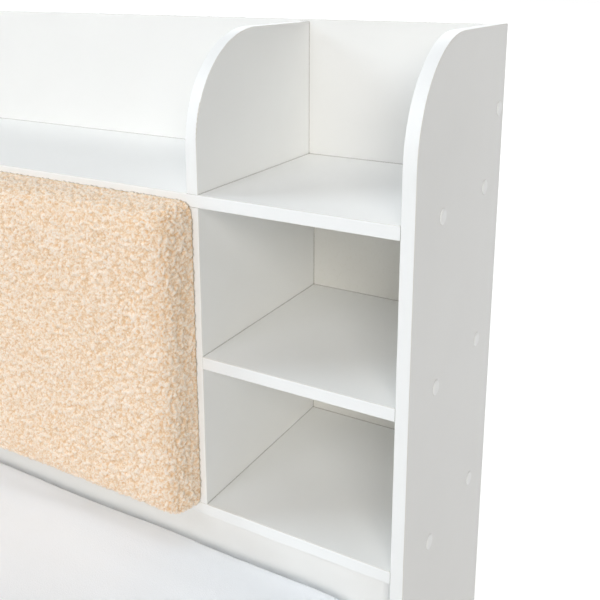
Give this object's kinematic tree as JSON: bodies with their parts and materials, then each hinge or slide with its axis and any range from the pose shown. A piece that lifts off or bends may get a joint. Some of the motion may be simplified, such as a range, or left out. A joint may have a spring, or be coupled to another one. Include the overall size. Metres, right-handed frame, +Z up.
{
  "type": "bookcase headboard bed",
  "caption": "Double bed with a bookcase headboard: open cubbies at both ends, rounded side panels, a curly fabric pad between them, slatted base and mattress.",
  "frame": {"origin": "on the floor under the middle of the bed's bounding box", "axes": "+X to the right of someone who stands at the foot and looks at the headboard, +Y towards the head end, +Z up"},
  "size_m": [1.4432, 2.301, 1.042],
  "materials": {
    "laminate": "white melamine laminate, satin, with white edge bands",
    "thin_panel": "thin white-faced fibreboard",
    "pad_core": "raw particle board",
    "pad_foam": "upholstery foam",
    "curly_cover": "peach-beige curly pile fabric",
    "pine": "planed pine",
    "zinc_steel": "zinc-plated steel",
    "beech": "fluted beech dowel",
    "cap_plastic": "white plastic cap",
    "glide_plastic": "white plastic glide",
    "mattress_cover": "white knitted cover"
  },
  "bodies": {
    "root": {"side_panel_right": "laminate", "side_panel_left": "laminate", "top_shelf": "laminate", "bottom_shelf": "laminate", "middle_shelf_right": "laminate", "middle_shelf_left": "laminate", "upper_divider_right": "laminate", "upper_divider_left": "laminate", "lower_divider_right": "laminate", "lower_divider_left": "laminate", "top_back_board": "laminate", "lower_front_panel": "laminate", "side_rail_right": "laminate", "side_rail_left": "laminate", "footboard": "laminate", "thin_back_panel": "thin_panel", "pad_board": "pad_core", "pad_foam": "pad_foam", "pad_cover": "curly_cover", "slat_ledge_right": "pine", "slat_ledge_left": "pine", "centre_beam": "pine", "centre_leg_head": "pine", "centre_leg_foot": "pine", "slat_01": "pine", "slat_02": "pine", "slat_03": "pine", "slat_04": "pine", "slat_05": "pine", "slat_06": "pine", "slat_07": "pine", "slat_08": "pine", "slat_09": "pine", "slat_10": "pine", "slat_11": "pine", "slat_12": "pine", "slat_13": "pine", "slat_14": "pine", "rail_bracket_head_right": "zinc_steel", "rail_bracket_head_left": "zinc_steel", "rail_bracket_foot_right": "zinc_steel", "rail_bracket_foot_left": "zinc_steel", "beam_hanger_head": "zinc_steel", "beam_hanger_foot": "zinc_steel", "pad_brackets": "zinc_steel", "pad_screws": "zinc_steel", "bracket_screws": "zinc_steel", "slat_screws": "zinc_steel", "ledge_screws": "zinc_steel", "board_screws": "zinc_steel", "divider_screws": "zinc_steel", "leg_bolts": "zinc_steel", "back_panel_nails": "zinc_steel", "dowels": "beech", "screw_caps_right": "cap_plastic", "screw_caps_left": "cap_plastic", "floor_glides": "glide_plastic", "mattress": "mattress_cover"}
  },
  "joints": []
}
